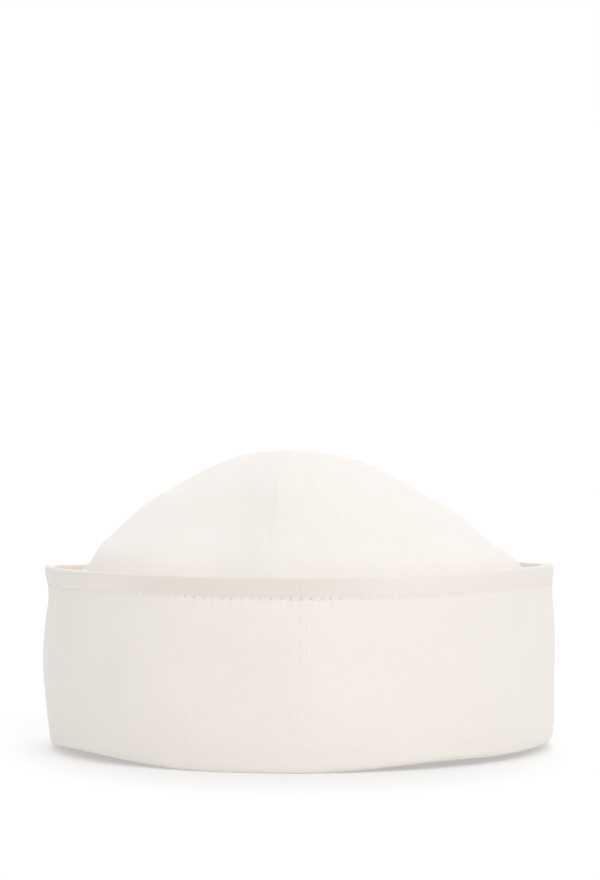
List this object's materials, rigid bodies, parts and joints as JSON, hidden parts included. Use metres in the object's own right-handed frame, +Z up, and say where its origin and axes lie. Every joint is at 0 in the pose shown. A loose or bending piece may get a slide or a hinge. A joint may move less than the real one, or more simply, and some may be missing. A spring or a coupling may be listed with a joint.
{
  "type": "sailor cap",
  "caption": "White cotton sailor cap: a domed crown of four panels in a tall turned-up brim with a stitched hem, open underneath for the head.",
  "frame": {"origin": "on the surface that the cap rests on, under the middle of its box", "axes": "+Z up through the crown, +Y along the cap's long way from the pictured side, where the brim's seam is, to the far side, +X to the right as the picture shows it"},
  "size_m": [0.1934, 0.2032, 0.1116],
  "materials": {
    "brim_cotton": "matt white cotton twill, two layers with a stiffer hand",
    "crown_cotton": "matt white cotton twill"
  },
  "bodies": {
    "root": {"brim": "brim_cotton", "crown_panel_near": "crown_cotton", "crown_panel_right": "crown_cotton", "crown_panel_far": "crown_cotton", "crown_panel_left": "crown_cotton"}
  },
  "joints": []
}
